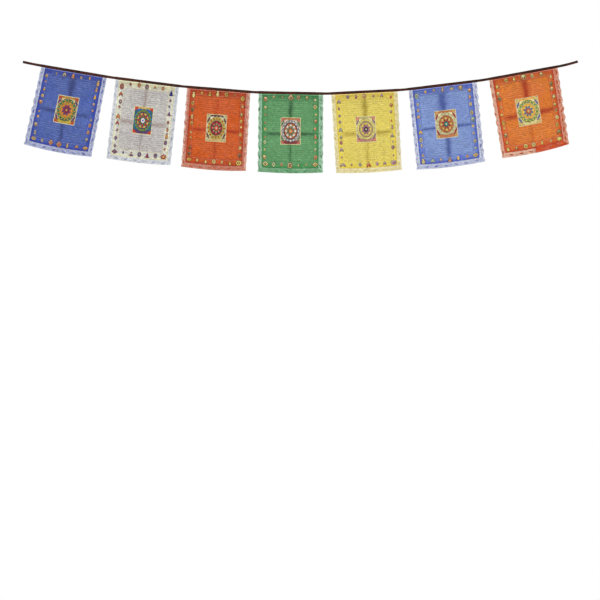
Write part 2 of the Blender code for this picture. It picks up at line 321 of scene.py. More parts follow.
def crinkles(flag, across, down):
    """Small relief of thin washed cloth, in metres towards the viewer.

    Ripples: a sum of sines of the height over the root of their number, each slanted and bent in its
    own way. Dents: Gaussian hollows and swells. Crease lines: narrow valleys exp(-|distance| / width).
    Puckers: slanted sines that die away from the hems.
    """
    cloth = string_settings().cloth
    random = np.random.default_rng(FLAGS.index(flag) + 11)
    x = across * flag.top / 2
    z = down * cloth_high(flag)
    ripples = 0.0
    for _ in range(RIPPLES):
        length, slant, bend = random.uniform((0.009, -0.7, 0.001), (0.024, 0.7, 0.004))
        start, turn = random.uniform(0.0, 2.0 * np.pi, 2)
        reach = random.uniform(0.05, 0.11)
        line = z + slant * x + bend * np.sin(2.0 * np.pi * x / reach + turn)
        ripples = ripples + np.sin(2.0 * np.pi * line / length + start)
    dents = 0.0
    for _ in range(DENTS):
        place_x, place_z = random.uniform((-0.13, 0.03), (0.13, 0.33))
        wide, tall = random.uniform((0.012, 0.010), (0.045, 0.030))
        depth = random.uniform(-1.0, 1.0)
        dents = dents + depth * np.exp(-(((x - place_x) / wide) ** 2) - ((z - place_z) / tall) ** 2)
    edge = np.minimum(flag.top / 2 - np.abs(x), cloth_high(flag) - z)
    pucker = np.sin(2.0 * np.pi * (z + 0.6 * edge) / cloth.pucker_length) * np.exp(-edge / PUCKER_REACH)
    off_fold = np.abs(z - FOLD_AT * cloth_high(flag))
    valley = np.exp(-np.abs(x) / VALLEY_WIDE) + np.exp(-off_fold / VALLEY_WIDE)
    relief = cloth.ripple * ripples / math.sqrt(RIPPLES) + cloth.dent * dents
    relief = relief + cloth.pucker * pucker - cloth.crease_line * valley
    return freed(flag, down) * relief


def cloth_points(flag, across, down):
    """Middle surface of a flag's sheet, in place, as an array of points.

    In its own axes the sheet is a sheared, slightly flared rectangle that sags between its corners,
    with wavy side edges. It is then turned to the tape's lean and set below the tape's middle line.
    """
    width = flag.top + (flag.hem - flag.top) * down
    phase = 2.0 * np.pi * SCALLOPS * down
    uneven = 0.7 + 0.3 * np.sin(WAVE_CHANGE * down + flag.lean)
    left, right = flag.wave_left * np.cos(phase), flag.wave_right * np.cos(phase + 1.0)
    wave = uneven * np.where(across < 0.0, left, right)
    edge = smooth_step(down / LETTING_GO) * np.abs(across) ** SCALLOP_REACH
    x = across * width / 2 + flag.sway * down + np.sign(across) * wave * edge
    sag = flag.bow * (1.0 - across**2) + flag.skew / 2 * across
    z = TUCK - cloth_high(flag) * down - sag * smooth_step(down)
    y = -fold_depth(flag, across, down) - crinkles(flag, across, down) - WAVE_OUT * wave * edge
    lean = math.radians(flag.lean)
    middle = (flag.start + flag_end(flag)) / 2
    placed_x = middle + x * math.cos(lean) + z * math.sin(lean)
    placed_z = float(tape_height(middle)) - x * math.sin(lean) + z * math.cos(lean)
    return np.stack([placed_x, y, placed_z], axis=-1)


def unit(vectors):
    """Vectors brought to length 1."""
    return vectors / np.maximum(np.linalg.norm(vectors, axis=-1, keepdims=True), 1e-12)


def cloth_normals(flag, across, down):
    """Unit normals of that surface towards the viewer: cross product of its two small steps."""
    here = cloth_points(flag, across, down)
    aside = cloth_points(flag, across + NORMAL_STEP, down) - here
    below = cloth_points(flag, across, down + NORMAL_STEP) - here
    return unit(np.cross(below, aside))


def edge_distance(flag, across, down):
    """Metres from the nearest side or bottom edge of the flat cloth."""
    return np.minimum((1.0 - np.abs(across)) * flag.top / 2, (1.0 - down) * cloth_high(flag))


def cloth_thickness(flag, across, down):
    """Single cloth inside, a rounded turned hem along the sides and the bottom.

    The hem adds a half ellipse of its own width.
    """
    cloth = string_settings().cloth
    share = np.clip(edge_distance(flag, across, down) / cloth.hem_wide, 0.0, 1.0)
    roll = np.sqrt(np.clip(1.0 - (2.0 * share - 1.0) ** 2, 0.0, 1.0))
    return cloth.thick + (cloth.hem_thick - cloth.thick) * roll * freed(flag, down)


# Meshes


def make_mesh(name, points, faces, uv=None):
    """A smooth mesh of points and four-sided faces, with a UV map where one is given per point."""
    mesh = bpy.data.meshes.new(name)
    mesh.from_pydata(points.reshape(-1, 3).tolist(), [], faces.reshape(-1, 4).tolist())
    if uv is not None:
        layer = mesh.uv_layers.new(name="cloth")
        corners = np.empty(len(mesh.loops), dtype=np.int32)
        mesh.loops.foreach_get("vertex_index", corners)
        layer.data.foreach_set("uv", uv.reshape(-1, 2)[corners].ravel())
    mesh.shade_smooth()
    return mesh


def add_piece(mesh, material):
    """Put a finished mesh in the scene as a piece that rides on the one body."""
    mesh.materials.append(material)
    piece = bpy.data.objects.new(mesh.name, mesh)
    bpy.context.scene.collection.objects.link(piece)
    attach(piece, "root")
    return piece


def grid_faces(rows, columns, closed=False):
    """Corner numbers of the faces of a grid, its front towards -Y; closed joins its columns."""
    count = columns if closed else columns - 1
    row, column = np.meshgrid(np.arange(rows - 1), np.arange(count), indexing="ij")
    after = (column + 1) % columns
    here, below = row * columns, (row + 1) * columns
    corners = [here + column, below + column, below + after, here + after]
    return np.stack(corners, axis=-1).reshape(-1, 4)


def cloth_grid():
    """Evenly numbered columns and rows, moved towards the two creases and the edges.

    A place s becomes s - pinch sin(2 pi s) / (2 pi) across and the same in halves down.
    """
    s = np.linspace(-1.0, 1.0, COLUMNS)
    t = np.linspace(0.0, 1.0, ROWS)
    across = s - PINCH * np.sin(2.0 * np.pi * s) / (2.0 * np.pi)
    down = t - PINCH * np.sin(4.0 * np.pi * t) / (4.0 * np.pi)
    return np.meshgrid(across, down)


def flag_mesh(flag):
    """A flag as one closed sheet: its middle surface moved half its thickness to either side.

    Its attribute side is 1 on the printed face and 0 on the back.
    """
    across, down = cloth_grid()
    middle = cloth_points(flag, across, down)
    half = cloth_normals(flag, across, down) * cloth_thickness(flag, across, down)[..., None] / 2
    points = np.concatenate([(middle + half).reshape(-1, 3), (middle - half).reshape(-1, 3)])
    front = grid_faces(ROWS, COLUMNS)
    number = np.arange(ROWS * COLUMNS).reshape(ROWS, COLUMNS)
    rim = np.concatenate([number[:-1, 0], number[-1, :-1], number[:0:-1, -1], number[0, :0:-1]])
    following = np.roll(rim, -1)
    far = ROWS * COLUMNS
    walls = np.stack([following, rim, rim + far, following + far], axis=-1)
    faces = np.concatenate([front, front[:, ::-1] + far, walls])
    uv = np.stack([(across + 1.0) / 2.0, 1.0 - down], axis=-1).reshape(-1, 2)
    mesh = make_mesh(flag.name + "_cloth", points, faces, np.concatenate([uv, uv]))
    side = mesh.attributes.new("side", "FLOAT", "POINT")
    side.data.foreach_set("value", np.repeat([1.0, 0.0], far))
    return mesh


def tape_section(deep, thick):
    """Outline of the folded tape for arrays of its depth and thickness, as offsets (y, z).

    A half ellipse over the fold, two straight walls, rounded free edges, and the slot between.
    """
    half = thick / 2
    foot = -deep / 2
    shoulder = deep / 2 - half * 0.9
    slot = np.minimum(SLOT_HALF, half * 0.45)
    turn = np.linspace(0.0, np.pi, FOLD_POINTS)
    rise = np.linspace(0.0, 1.0, WALL_POINTS)[1:-1]
    outer = [(half * math.cos(a), shoulder + half * 0.9 * math.sin(a)) for a in turn]
    down_wall = [(-half, shoulder + (foot + 0.0004 - shoulder) * r) for r in rise]
    edge = [
        (-half, foot + 0.0004),
        (-half * 0.55 - slot * 0.45, foot),
        (-slot, foot + 0.0003),
    ]
    roof = np.where(thick > (TAPE_THICK + GAP_THICK) / 2, SLOT_ROOF, foot + 0.0030)
    inside = [(-slot, roof), (slot, roof)]
    back_edge = [(-y, z) for y, z in reversed(edge)]
    up_wall = [(-y, z) for y, z in reversed(down_wall)]
    outline = outer + down_wall + edge + inside + back_edge + up_wall
    y = np.stack([np.broadcast_to(y, deep.shape) for y, _ in outline], axis=-1)
    z = np.stack([np.broadcast_to(z, deep.shape) for _, z in outline], axis=-1)
    return y, z


def over_flag(x):
    """1 where a flag is tucked into the tape, 0 in the gaps, with a short ramp between."""
    share = np.zeros_like(x)
    for flag in FLAGS:
        near = np.minimum(x - flag.start, flag_end(flag) - x) / SWELL_RAMP + 1.0
        share = np.maximum(share, smooth_step(near))
    return share


def off_tape_line(x, height):
    """X and Z of the point at a height above the tape's middle line, square to it, at x."""
    angle = np.arctan(fall(x))
    return x + height * np.sin(angle), tape_height(x) + height * np.cos(angle)


def tape_mesh():
    """The tape: its outline carried along the line in which it hangs, dimpled by its stitches.

    Its depth wanders by two slow sines, and both ends are rounded off over 4 mm. The seam's dimple
    is exp(-(distance / width)^2), made deeper at each stitch by a cosine.
    """
    tape = string_settings().tape
    x = np.linspace(0.0, SPAN, TAPE_STATIONS)
    share = over_flag(x)
    wander = 1.0 + 0.02 * np.sin(2.0 * np.pi * x / 0.19) + 0.015 * np.sin(2.0 * np.pi * x / 0.071 + 1.0)
    ends = np.clip(np.minimum(x, SPAN - x) / 0.0040, 0.0, 1.0)
    round_off = 0.94 + 0.06 * np.sqrt(1.0 - (1.0 - ends) ** 2)
    deep = (GAP_DEEP + (TAPE_DEEP - GAP_DEEP) * share) * wander * round_off + 2.0 * tape.proud
    thick = (GAP_THICK + (TAPE_THICK - GAP_THICK) * share) * round_off
    y, z = tape_section(deep, thick)
    seam = np.exp(-(((z + tape.stitch_drop) / 0.0011) ** 2))
    beat = 0.65 + 0.35 * np.cos(2.0 * np.pi * x / tape.stitch_pitch)[:, None]
    pinch = tape.dimple * seam * beat * (np.abs(y) > thick[:, None] * 0.35)
    y = y - np.sign(y) * pinch
    placed_x, placed_z = off_tape_line(x[:, None], z)
    points = np.stack([placed_x, y, placed_z], axis=-1)
    count = y.shape[1]
    faces = grid_faces(TAPE_STATIONS, count, closed=True)
    uv = np.stack(np.broadcast_arrays((x / SPAN)[:, None], np.arange(count) / count), axis=-1)
    mesh = make_mesh("header_tape_cloth", points, faces, uv)
    return close_ends(mesh, TAPE_STATIONS, count)


def close_ends(mesh, rings, count):
    """Fill the first and last ring of a tube and turn every face outwards."""
    model = bmesh.new()
    model.from_mesh(mesh)
    model.verts.ensure_lookup_table()
    for first in (0, (rings - 1) * count):
        model.faces.new([model.verts[first + index] for index in range(count)])
    bmesh.ops.triangulate(model, faces=[face for face in model.faces if len(face.verts) > 4])
    bmesh.ops.recalc_face_normals(model, faces=model.faces)
    model.to_mesh(mesh)
    model.free()
    mesh.shade_smooth()
    return mesh


def thread_mesh(name, starts, ends, normals, radius):
    """Stitches: short bowed threads from start to end, each a closed tube of four rings.

    A ring's radius is the thread's times (0.45, 1, 1, 0.45); its centre stands proud of the cloth by
    half a radius in the middle of the stitch. Two four-sided faces close each end.
    """
    along = unit(ends - starts)
    aside = unit(np.cross(along, normals))
    share = np.array([0.0, 0.22, 0.78, 1.0])
    swell = np.array([0.45, 1.0, 1.0, 0.45]) * radius
    lift = np.array([-0.3, 0.5, 0.5, -0.3]) * radius
    turn = np.linspace(0.0, 2.0 * np.pi, 7)[:-1]
    centre = starts[:, None] + (ends - starts)[:, None] * share[:, None]
    centre = centre + normals[:, None] * lift[:, None]
    ring = normals[:, None] * np.cos(turn)[:, None] + aside[:, None] * np.sin(turn)[:, None]
    points = centre[:, :, None] + ring[:, None] * swell[:, None, None]
    count = len(starts)
    tube = grid_faces(4, 6, closed=True)
    caps = np.array([[0, 1, 2, 3], [0, 3, 4, 5], [21, 20, 19, 18], [23, 22, 21, 18]])
    one = np.concatenate([tube, caps])
    faces = (one[None] + 24 * np.arange(count)[:, None, None]).reshape(-1, 4)
    return make_mesh(name, points, faces)


def hem_stitches(flag):
    """The row of stitches on a flag's hems: down both sides and along the bottom."""
    cloth = string_settings().cloth
    inset = cloth.hem_wide * 0.86
    side = 1.0 - inset / (flag.top / 2)
    high = cloth_high(flag)
    foot = 1.0 - inset / high
    first = (TUCK + TAPE_DEEP / 2 + 0.0012) / high
    steps_down = np.arange(first, foot, cloth.stitch_pitch / high)
    steps_along = np.arange(-side, side, cloth.stitch_pitch / (flag.top / 2))
    still_down, still_along = np.zeros_like(steps_down), np.zeros_like(steps_along)
    across = np.concatenate([still_down - side, steps_along, still_down + side])
    down = np.concatenate([steps_down, still_along + foot, steps_down])
    turned = np.concatenate([still_down, still_along + 1.0, still_down])
    length = 0.68 * cloth.stitch_pitch
    next_across = across + turned * length / (flag.top / 2)
    next_down = down + (1.0 - turned) * length / high
    normals = cloth_normals(flag, across, down)
    proud = normals * cloth_thickness(flag, across, down)[:, None] / 2
    starts = cloth_points(flag, across, down) + proud
    ends = cloth_points(flag, next_across, next_down) + proud
    return thread_mesh(flag.name + "_hem_stitches", starts, ends, normals, cloth.thread)


def tape_stitches():
    """Two rows of stitches through the tape, front and back, below its middle line."""
    tape = string_settings().tape
    x = np.arange(0.006, SPAN - 0.008, tape.stitch_pitch)
    next_x = x + tape.stitch_pitch * 0.7
    rows = []
    for facing in (-1.0, 1.0):
        for place in (x, next_x):
            thick = GAP_THICK + (TAPE_THICK - GAP_THICK) * over_flag(place)
            out = facing * (thick / 2 - tape.dimple * 0.6)
            placed_x, placed_z = off_tape_line(place, -tape.stitch_drop)
            rows.append(np.stack([placed_x, out, placed_z], axis=-1))
    starts = np.concatenate([rows[0], rows[2]])
    ends = np.concatenate([rows[1], rows[3]])
    normals = np.repeat([[0.0, -1.0, 0.0], [0.0, 1.0, 0.0]], len(x), axis=0)
    return thread_mesh("header_tape_stitches", starts, ends, normals, tape.thread)


# Node trees


def linear(colour):
    """An 8-bit screen colour as the linear values a material takes, with full alpha."""
    share = np.array(colour) / 255.0
    values = np.where(share <= 0.04045, share / 12.92, ((share + 0.055) / 1.055) ** 2.4)
    return (*values.tolist(), 1.0)


class Wire:
    """The output of a node. Arithmetic on it adds Math nodes to its tree."""

    def __init__(self, tree, socket):
        self.tree = tree
        self.socket = socket

    def math(self, operation, *others, clamp=False):
        """A Math node of this wire and up to two more values."""
        node = self.tree.nodes.new("ShaderNodeMath")
        node.operation = operation
        node.use_clamp = clamp
        for slot, value in zip(node.inputs, (self, *others)):
            plug(value, slot)
        return Wire(self.tree, node.outputs[0])

    def __add__(self, other):
        return self.math("ADD", other)

    def __sub__(self, other):
        return self.math("SUBTRACT", other)

    def __mul__(self, other):
        return self.math("MULTIPLY", other)

    def __truediv__(self, other):
        return self.math("DIVIDE", other)

    def __abs__(self):
        return self.math("ABSOLUTE")

    def __lt__(self, other):
        return self.math("LESS_THAN", other)

    def __gt__(self, other):
        return self.math("GREATER_THAN", other)

    def least(self, other):
        """The smaller of two values: the union of two distances."""
        return self.math("MINIMUM", other)

    def most(self, other):
        """The larger of two values: where two distances overlap."""
        return self.math("MAXIMUM", other)

    def inside(self, blur=0.5):
        """1 where a distance is below zero, 0 above, with a soft edge of the given width."""
        return self.math("MULTIPLY_ADD", -1.0 / blur, 0.5, clamp=True)

    def flipped(self):
        """One minus this value."""
        return self.math("MULTIPLY_ADD", -1.0, 1.0)

    def clamped(self, times=1.0):
        """This value times a factor, kept from 0 to 1."""
        return self.math("MULTIPLY", times, clamp=True)

    def strip(self, middle, half, blur):
        """1 where this value is within half of the middle one, 0 further off, with soft edges."""
        return (abs(self - middle) - half).inside(blur)

    def under(self, share, over):
        """This colour with another laid over it by a share from 0 to 1."""
        return blend(self.tree, share, self, over)

    def repeat(self, length):
        """Place within a repeat of the given length, from -half to +half."""
        return (self / length).math("ROUND").math("MULTIPLY_ADD", -length, self)


def plug(value, socket):
    """Link a wire to a socket, or set the socket to a plain number or colour."""
    if isinstance(value, Wire):
        value.tree.links.new(value.socket, socket)
    else:
        socket.default_value = value


def blend(tree, share, under, over):
    """One colour laid over another by a share from 0 to 1."""
    node = tree.nodes.new("ShaderNodeMix")
    node.data_type = "RGBA"
    plug(share, node.inputs[0])
    plug(under, node.inputs[6])
    plug(over, node.inputs[7])
    return Wire(tree, node.outputs[2])


def brightened(colour, value):
    """A colour wire made lighter or darker by a factor."""
    node = colour.tree.nodes.new("ShaderNodeHueSaturation")
    plug(value, node.inputs["Value"])
    plug(colour, node.inputs["Color"])
    return Wire(colour.tree, node.outputs[0])


def vector(x, y, z=0.0):
    """Three values joined into a vector, the first of them a wire."""
    node = x.tree.nodes.new("ShaderNodeCombineXYZ")
    for slot, value in zip(node.inputs, (x, y, z)):
        plug(value, slot)
    return Wire(x.tree, node.outputs[0])


def noise(place, scale, detail=2.0):
    """Noise of a vector, 0 to 1."""
    node = place.tree.nodes.new("ShaderNodeTexNoise")
    plug(place, node.inputs["Vector"])
    node.inputs["Scale"].default_value = scale
    node.inputs["Detail"].default_value = detail
    return Wire(place.tree, node.outputs[0])


def clouds(x, y, z=0.0, scale=1.0, detail=2.0):
    """Noise of the vector of three values, 0 to 1."""
    return noise(vector(x, y, z), scale, detail)


def chance(x, y=0.0):
    """Three even random numbers for the whole numbers x and y."""
    tree = x.tree
    node = tree.nodes.new("ShaderNodeTexWhiteNoise")
    node.noise_dimensions = "2D"
    plug(vector(x, y), node.inputs["Vector"])
    parts = tree.nodes.new("ShaderNodeSeparateXYZ")
    tree.links.new(node.outputs["Color"], parts.inputs[0])
    return [Wire(tree, parts.outputs[index]) for index in range(3)]


def new_group(name, numbers, colours=()):
    """An empty shader group with named number and colour inputs, and the wires of those inputs."""
    tree = bpy.data.node_groups.new(name, "ShaderNodeTree")
    for title in numbers:
        tree.interface.new_socket(title, in_out="INPUT", socket_type="NodeSocketFloat")
    for title in colours:
        tree.interface.new_socket(title, in_out="INPUT", socket_type="NodeSocketColor")
    source = tree.nodes.new("NodeGroupInput")
    return tree, [Wire(tree, source.outputs[title]) for title in (*numbers, *colours)]


def finish_group(tree, **results):
    """Give the group its named outputs: colours where the name ends in colour, else numbers."""
    sink = tree.nodes.new("NodeGroupOutput")
    for title, value in results.items():
        kind = "NodeSocketColor" if title.endswith("colour") else "NodeSocketFloat"
        tree.interface.new_socket(title, in_out="OUTPUT", socket_type=kind)
        plug(value, sink.inputs[title])
    return tree


def use_group(group, *values):
    """Place a group with its inputs in order, the first a wire, and return its outputs' wires."""
    tree = values[0].tree
    node = tree.nodes.new("ShaderNodeGroup")
    node.node_tree = group
    for slot, value in zip(node.inputs, values):
        plug(value, slot)
    return [Wire(tree, slot) for slot in node.outputs]


def oval(across, down, half_wide, half_high):
    """Rough distance to an ellipse: (length of the scaled place - 1) times its smaller half size."""
    wide, high = across / half_wide, down / half_high
    length = (wide.math("POWER", 2.0) + high.math("POWER", 2.0)).math("SQRT")
    return (length - 1.0) * min(half_wide, half_high)


def block(across, down, half_wide, half_high):
    """Distance to a rectangle about the origin."""
    return (abs(across) - half_wide).most(abs(down) - half_high)


def lobes(angle, pace, wave="COSINE"):
    """0 to 1 and back as the angle turns: the size of the cosine or sine of the angle times a pace."""
    return abs((angle * pace).math(wave))


def pick(number_wire, options):
    """The option whose place in the list is the number: each step swaps when the number is past it."""
    result = options[0]
    for place, option in enumerate(options[1:]):
        result = result + (option - result) * (number_wire > place + 0.5)
    return result


# Effects shared by the flags


def weave_group():
    """Plain weave: a product of two sines for the threads, and slubs as noise stretched along them."""
    tree, (across, down, pitch) = new_group("plain_weave", ("Across", "Down", "Pitch"))
    warp = (across * math.pi / pitch).math("SINE")
    weft = (down * math.pi / pitch).math("SINE")
    slub = clouds(across * 0.05, down * 1.1)
    warp_slub = clouds(across * 1.3, down * 0.04, 7.0)
    shade = (slub + warp_slub) * 0.5
    return finish_group(tree, height=warp * weft * 0.5 + slub * 0.6, shade=shade)


def brocade_group():
    """Border strip, as how dark each place is.

    One slanted leaf mark in each pitch, at a place and a strength of its own, a fainter one between,
    and streaks of noise drawn out along the border. share runs from 0 at the outer edge to 1.
    """
    tree, (along, share, seed) = new_group("brocade_border", ("Along", "Share", "Seed"))
    place = along + clouds(along * 0.03, seed) * 16.0
    shift, strong, slant = chance((place / BROCADE_PITCH).math("ROUND"), seed)
    here = place.repeat(BROCADE_PITCH)
    rough = clouds(along, share * 17.0, seed, scale=0.25) - 0.5
    deep = share * SIDE_BORDER + rough * 4.0
    leaf = oval(here, deep - 5.0 - shift * 4.0 - here * (slant - 0.5) * 0.7, 8.5, 2.8)
    between = (place + BROCADE_PITCH / 2).repeat(BROCADE_PITCH)
    small_leaf = oval(between, deep - 9.0 + shift * 5.0 - between * (strong - 0.5) * 0.6, 5.5, 1.8)
    streak = clouds(along * 0.045, share * 5.5, seed, detail=1.0)
    flecks = clouds(along * 0.3, share * 8.0, seed + 3.0, detail=1.0)
    tint = leaf.inside(2.5) * (strong * 0.65 + 0.45) + small_leaf.inside(2.0) * 0.35
    tint = tint + (streak - 0.52).most(0.0) * 1.3 + (flecks - 0.55).most(0.0) * 1.6
    return finish_group(tree, tint=tint.clamped())


def motif_place_group():
    """Which small motif a place belongs to, and the place within it.

    Rows above and below repeat every column pitch, the two sides every step pitch, each motif a
    little off its place. The first of each side, the low corners and the middle ones are larger, and
    Size scales them all. Cells are numbered 0 to 6 above, 7 to 13 below, 14 to 22 down the left side
    and 23 to 31 down the right one. large is 1 at a low corner and 2 in the middle of a row.
    """
    tree, (across, down, seed, scale) = new_group("motif_place", ("Across", "Down", "Seed", "Size"))
    low = down > LOW_ROW - STEP_PITCH / 2
    high = (down < FIRST_STEP + 2.0) * (abs(across) < COLUMN_PITCH * 2.62)
    in_row = low.most(high)
    column = (across / COLUMN_PITCH).math("ROUND").most(-3.0).least(3.0)
    row_across = across - column * COLUMN_PITCH
    row_down = down - TOP_ROW - low * (LOW_ROW - TOP_ROW)
    step = ((down - FIRST_STEP) / STEP_PITCH).math("ROUND").most(0.0).least(8.0)
    side_across = abs(across) - SIDE_ROW
    side_down = down - FIRST_STEP - step * STEP_PITCH
    cell_in_row = column + low * 7.0 + 3.0
    cell_in_side = step + (across > 0.0) * 9.0 + 14.0
    cell = cell_in_side + (cell_in_row - cell_in_side) * in_row
    shift, lift, swell = chance(cell, seed)
    corner = (abs(column) > 2.5) * low
    middle = (abs(column) < 0.5) * in_row
    first = (step < 0.5) * in_row.flipped()
    size = (swell * 0.65 + 0.55 + corner * 0.25 + middle * 0.5 + first * 0.2) * scale * MOTIF_SIZE
    loose = in_row.flipped() * 8.0 + 4.0
    local_across = side_across + (row_across - side_across) * in_row + (shift - 0.5) * 4.0
    local_down = side_down + (row_down - side_down) * in_row + (lift - 0.5) * loose
    local_across = local_across / (size * MOTIF_SLIM + corner * 0.55)
    local_down = local_down / (size * MOTIF_TALL)
    large = corner + middle * 2.0
    return finish_group(tree, across=local_across, down=local_down, cell=cell, large=large)


def motif_group():
    """Seven ordinary small motifs as distances: jewel, wheel, lotus, vase, parasol, leaves and knot.

    body is the distance to the whole motif, heart to the mark inside it.
    """
    tree, (across, down, kind) = new_group("small_motif", ("Across", "Down", "Kind"))
    radius = (across * across + down * down).math("SQRT")
    angle = across.math("ARCTAN2", down)
    narrow = across * (down * -0.17 + 1.17).most(1.0)
    seat = oval(across, down - 6.6, 6.6, 1.9)
    jewel = oval(narrow, down + 0.2, 4.9, 6.2).least(seat)
    spokes = (lobes(angle, 4.0, "SINE") * radius - 0.8).most(radius - 6.0)
    wheel = (abs(radius - 6.0) - 1.2).least(spokes).least(radius - 1.9)
    lotus = radius - lobes(angle, 4.0) * 3.6 - 4.2
    vase = oval(across, down - 2.0, 5.0, 4.6).least(block(across, down + 3.4, 1.7, 3.0))
    vase = vase.least(block(across, down + 6.6, 3.6, 1.0)).least(block(across, down - 7.2, 3.2, 1.0))
    dome = oval(across, down + 2.6, 7.0, 5.0).most(down + 2.2)
    tassels = block(abs(abs(across) - 3.0) - 2.6, down - 1.4, 0.8, 4.0)
    parasol = dome.least(tassels).least(block(across, down - 1.5, 0.8, 6.4))
    lean_in = abs(across) - 3.4
    leaves = oval(lean_in * 0.85 - down * 0.53, lean_in * 0.53 + down * 0.85, 2.9, 7.0)
    diamond = block(across * 0.7 + down * 0.7, across * 0.7 - down * 0.7, 5.2, 5.2)
    knot = abs(diamond) - 1.2
    for slanted in (across + down, across - down):
        knot = knot.least((abs(slanted) - 0.9).most(radius - 6.6))
    body = pick(kind, [jewel, wheel, lotus, vase, parasol, leaves, knot])
    band = block(across, down - 2.0, 4.6, 0.8)
    bare = band + 9.0
    heart = pick(kind, [radius - 2.4, radius - 1.0, radius - 2.6, band, bare, bare, radius - 1.6])
    return finish_group(tree, body=body, heart=heart)


def script_group():
    """Ruled lines of broken marks: rows of a head line with gaps and short uneven strokes below it.

    The rows sway with noise, and they come and go in patches, fainter beside the panel and towards
    the sides. glint is the pale strip between two rows.
    """
    tree, (across, down, seed) = new_group("ruled_lines", ("Across", "Down", "Seed"))
    sway = clouds(across * 0.012, down * 0.02, seed, detail=1.0) * 4.0
    tremble = clouds(across * 0.08, down * 0.10, seed, detail=1.0) * 4.0
    place = down + sway + tremble
    row = (place / RULE_PITCH).math("ROUND")
    height = place.repeat(RULE_PITCH)
    random, random_long, random_gap = chance((across / RULE_STROKE).math("ROUND"), row + seed)
    head = height.strip(-1.7, 0.6, 0.7) * (random_gap > 0.1)
    stroke = across.repeat(RULE_STROKE).strip(0.0, 0.45, 0.5)
    reach = (abs(height - random_long * 1.2 + 0.4) - 0.5 - random_long).inside(0.6)
    strokes = stroke * reach * (random > 0.35)
    word = clouds(across * 0.04, row * 3.7, seed)
    clear = clouds(across, down, seed + 2.0, scale=0.016, detail=1.0)
    beside_panel = (abs(down - FRAME_MIDDLE) - PANEL_HALF_HIGH).inside(20.0)
    off_middle = across * across * 0.00002
    strong = (word * 1.1 + clear - beside_panel * 0.2 - off_middle - 0.74).clamped(3.2)
    glint = abs(height).strip(RULE_PITCH / 2, 1.2, 2.5) * strong
    return finish_group(tree, mark=head.most(strokes * 0.8) * strong, glint=glint)


def crease_shade_group():
    """Painted shade along the creases, in four arms, each strength times exp(-(distance / half
    width)^2), bent by noise.

    The shade fades out at the frame line; a painted hairline of shade follows each fold, the lower one
    down to the hem.
    """
    names = WearAndShade._fields[CREASE_COLUMNS]
    tree, wires = new_group("worn_creases", ("Across", "Down", "Seed", *names))
    across, down, seed, up, low, left, right, up_shift, up_wide, low_wide, level_wide = wires
    bend = clouds(across * 0.02, down * 0.02, seed, detail=1.0) - 0.5
    rough = clouds(across * 0.06, down * 0.06, seed, detail=1.0) - 0.5
    uneven = clouds(across * 0.025, down * 0.025, seed + 5.0, detail=1.0)
    is_low = down > FRAME_MIDDLE
    taper = (down - FRAME_MIDDLE) * -0.007 + 0.4
    wide = (up_wide * taper + (low_wide - up_wide * taper) * is_low) * (uneven * 0.6 + 0.7)
    off_fold = down - FOLD_AT * CLOTH_HIGH
    upright_place = (across - up_shift * is_low.flipped() + bend * 12.0 + rough * 6.0) / wide
    level_place = (off_fold + bend * 9.0 + rough * 6.0) / level_wide
    upright = (upright_place * upright_place * -1.0).math("EXPONENT")
    level = (level_place * level_place * -1.0).math("EXPONENT")
    side_arm = left + (right - left) * (across > 0.0)
    arms = upright * (up + (low - up) * is_low) + level * side_arm
    upright_hair = (abs(across) - 0.5).inside(2.4)
    hair = upright_hair.most((abs(off_fold) - 0.4).inside(1.8))
    frame_off = block(across, down - FRAME_MIDDLE, FRAME_HALF_WIDE, FRAME_HALF_HIGH)
    fade = (frame_off * -0.035 + 0.6).clamped().most(upright_hair * is_low * 0.6)
    shade = (arms * (uneven * 0.5 + 0.75) + hair * 0.3 * (arms + 0.6)) * fade
    return finish_group(tree, shade=shade.clamped())


